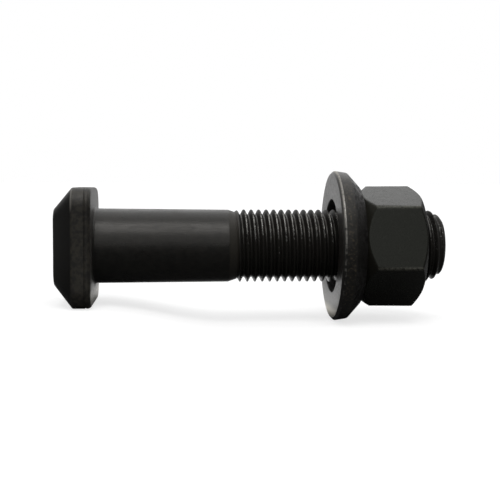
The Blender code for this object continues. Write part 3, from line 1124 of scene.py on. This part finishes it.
def makeFloor():
    # it is level under the head, slopes gently down, and is level again below the washer's rim,
    # wherever the nut stands
    headLevel = boltLow.z - stage["floorGap"]
    washerLevel = washerLow.z - stage["floorGap"]
    slopeStart = bearingX + stage["slopeStart"]
    slopeEnd = slopeStart + stage["slopeLength"]
    half = stage["floorSize"] * 1000.0 / 2.0
    profile = [(-half, headLevel)]
    for k in range(stage["slopeSteps"] + 1):
        share = k / stage["slopeSteps"]
        eased = share * share * (3.0 - 2.0 * share)
        profile.append((
            slopeStart + share * (slopeEnd - slopeStart),
            headLevel + eased * (washerLevel - headLevel)))
    profile.append((half, washerLevel))
    bm = bmesh.new()
    rows = [
        [bm.verts.new(Vector((x, y, z)) * 0.001) for x, z in profile] for y in (-half, half)]
    for i in range(len(profile) - 1):
        bm.faces.new((rows[0][i], rows[0][i + 1], rows[1][i + 1], rows[1][i]))
    mesh = bpy.data.meshes.new("paleFloor")
    bm.to_mesh(mesh)
    bm.free()
    mesh.shade_smooth()
    floor = makeObject("paleFloor", mesh)
    mesh.materials.append(floorFinish())


def whiteSeen(tree):
    # 1 where the camera looks, straight or through a glass, and 0 for light that reaches the bolt
    path = addNode(tree, "ShaderNodeLightPath")
    seen = addMath(tree, "MAXIMUM", path.outputs["Is Camera Ray"], path.outputs["Is Transmission Ray"])
    return path, seen


def floorFinish():
    # matte and white to the camera, with the bolt's shadow; in the dark coat it looks white behind the
    # bolt, and grey under it and in front, as painted shade in its reflections
    paint = bpy.data.materials.new("matteWhiteFloor")
    paint.use_nodes = True
    tree = paint.node_tree
    tree.nodes.clear()
    path, seen = whiteSeen(tree)
    place = addNode(tree, "ShaderNodeTexCoord").outputs["Object"]
    y = addNode(tree, "ShaderNodeSeparateXYZ", {0: place}).outputs[1]
    far = addRange(tree, y, (stage["paintedShadeEdge"], stage["whiteEdge"]), (0.0, 1.0))
    mirrored = addMath(tree, "MULTIPLY", path.outputs["Is Glossy Ray"], far)
    seen = addMath(tree, "MAXIMUM", seen, mirrored)
    # painted shade: the grey floor that only the bolt's reflections see
    paintedShadeFloor = addNode(tree, "ShaderNodeBsdfDiffuse", {"Color": linearColor(stage["paintedShadeColor"])})
    white = linearColor(stage["white"])
    shaded = addNode(tree, "ShaderNodeBsdfDiffuse", {"Color": white})
    plain = addNode(tree, "ShaderNodeEmission", {"Color": white, "Strength": 1.0})
    bright = addNode(tree, "ShaderNodeMixShader", {0: stage["whiteShare"], 1: shaded, 2: plain})
    mixed = addNode(tree, "ShaderNodeMixShader", {0: seen, 1: paintedShadeFloor, 2: bright})
    addNode(tree, "ShaderNodeOutputMaterial", {0: mixed})
    return paint


def makeRoom():
    # white to the camera, and a white backdrop behind the bolt in its reflections; the sides
    # look darker there, and the room lights the bolt only softly
    world = bpy.data.worlds.new("whiteRoom")
    bpy.context.scene.world = world
    world.use_nodes = True
    tree = world.node_tree
    tree.nodes.clear()
    path, seen = whiteSeen(tree)
    towards = addNode(tree, "ShaderNodeTexCoord").outputs["Generated"]
    towards = addNode(tree, "ShaderNodeSeparateXYZ", {0: towards}).outputs
    aside = addMath(tree, "ABSOLUTE", towards[0])
    behind = addProduct(
        tree, addRise(tree, aside, stage["sideFade"]), addRise(tree, towards[1], stage["frontFade"]))
    mirrored = addRange(tree, behind, (0.0, 1.0), (stage["sideMirror"], 1.0))
    strength = addNode(
        tree, "ShaderNodeMix",
        {0: path.outputs["Is Glossy Ray"], 2: stage["roomFill"], 3: mirrored}, data_type="FLOAT")
    strength = addNode(tree, "ShaderNodeMix", {0: seen, 2: strength, 3: 1.0}, data_type="FLOAT")
    room = addNode(
        tree, "ShaderNodeBackground", {"Color": linearColor(stage["white"]), "Strength": strength})
    addNode(tree, "ShaderNodeOutputWorld", {0: room})


def makeLamp(name, strength, width, fromFront, lean=0.0):
    lamp = bpy.data.lights.new(name, "SUN")
    lamp.energy = strength
    lamp.angle = math.radians(width)
    rise = math.radians(fromFront)
    aside = math.radians(lean)
    item = bpy.data.objects.new(name, lamp)
    towards = Vector((
        math.sin(aside), -math.cos(aside) * math.cos(rise), math.cos(aside) * math.sin(rise)))
    item.rotation_euler = towards.to_track_quat("Z", "Y").to_euler()
    bpy.context.scene.collection.objects.link(item)


def makeCamera():
    data = bpy.data.cameras.new("camera")
    data.sensor_width = viewpoint["sensorWidth"]
    data.lens = viewpoint["focalPixels"] / viewpoint["framePixels"] * data.sensor_width
    data.clip_start = viewpoint["nearest"] * 0.001
    data.clip_end = viewpoint["farthest"] * 0.001
    camera = bpy.data.objects.new("camera", data)
    bpy.context.scene.collection.objects.link(camera)
    rise = viewpoint["elevation"]
    look = rise + viewpoint["dip"]
    yaw = viewpoint["yaw"]
    away = viewpoint["distance"]
    foot = bearingX + viewpoint["footFromHead"]
    place = Vector((foot, -away * math.cos(rise), away * math.sin(rise))) * 0.001
    forward = Vector((
        math.sin(yaw), math.cos(yaw) * math.cos(look), -math.cos(yaw) * math.sin(look)))
    upward = Vector((0.0, math.sin(look), math.cos(look)))
    right = forward.cross(upward).normalized()
    upward = right.cross(forward)
    turned = Matrix((right, upward, -forward)).transposed()
    turned = turned @ Matrix.Rotation(-viewpoint["roll"], 3, "Z")
    camera.matrix_world = Matrix.Translation(place) @ turned.to_4x4()
    bpy.context.scene.camera = camera


makeCamera()
makeFloor()
makeRoom()
for name, settings in lamps.items():
    makeLamp(name, **settings)
print("stage is set")

woundThread = threadTree()
makeBolt(woundThread, boltFinish())
makeNut(woundThread, nutFinish())
makeWasher(washerFinish())

bpy.context.scene.view_settings.view_transform = "Standard"
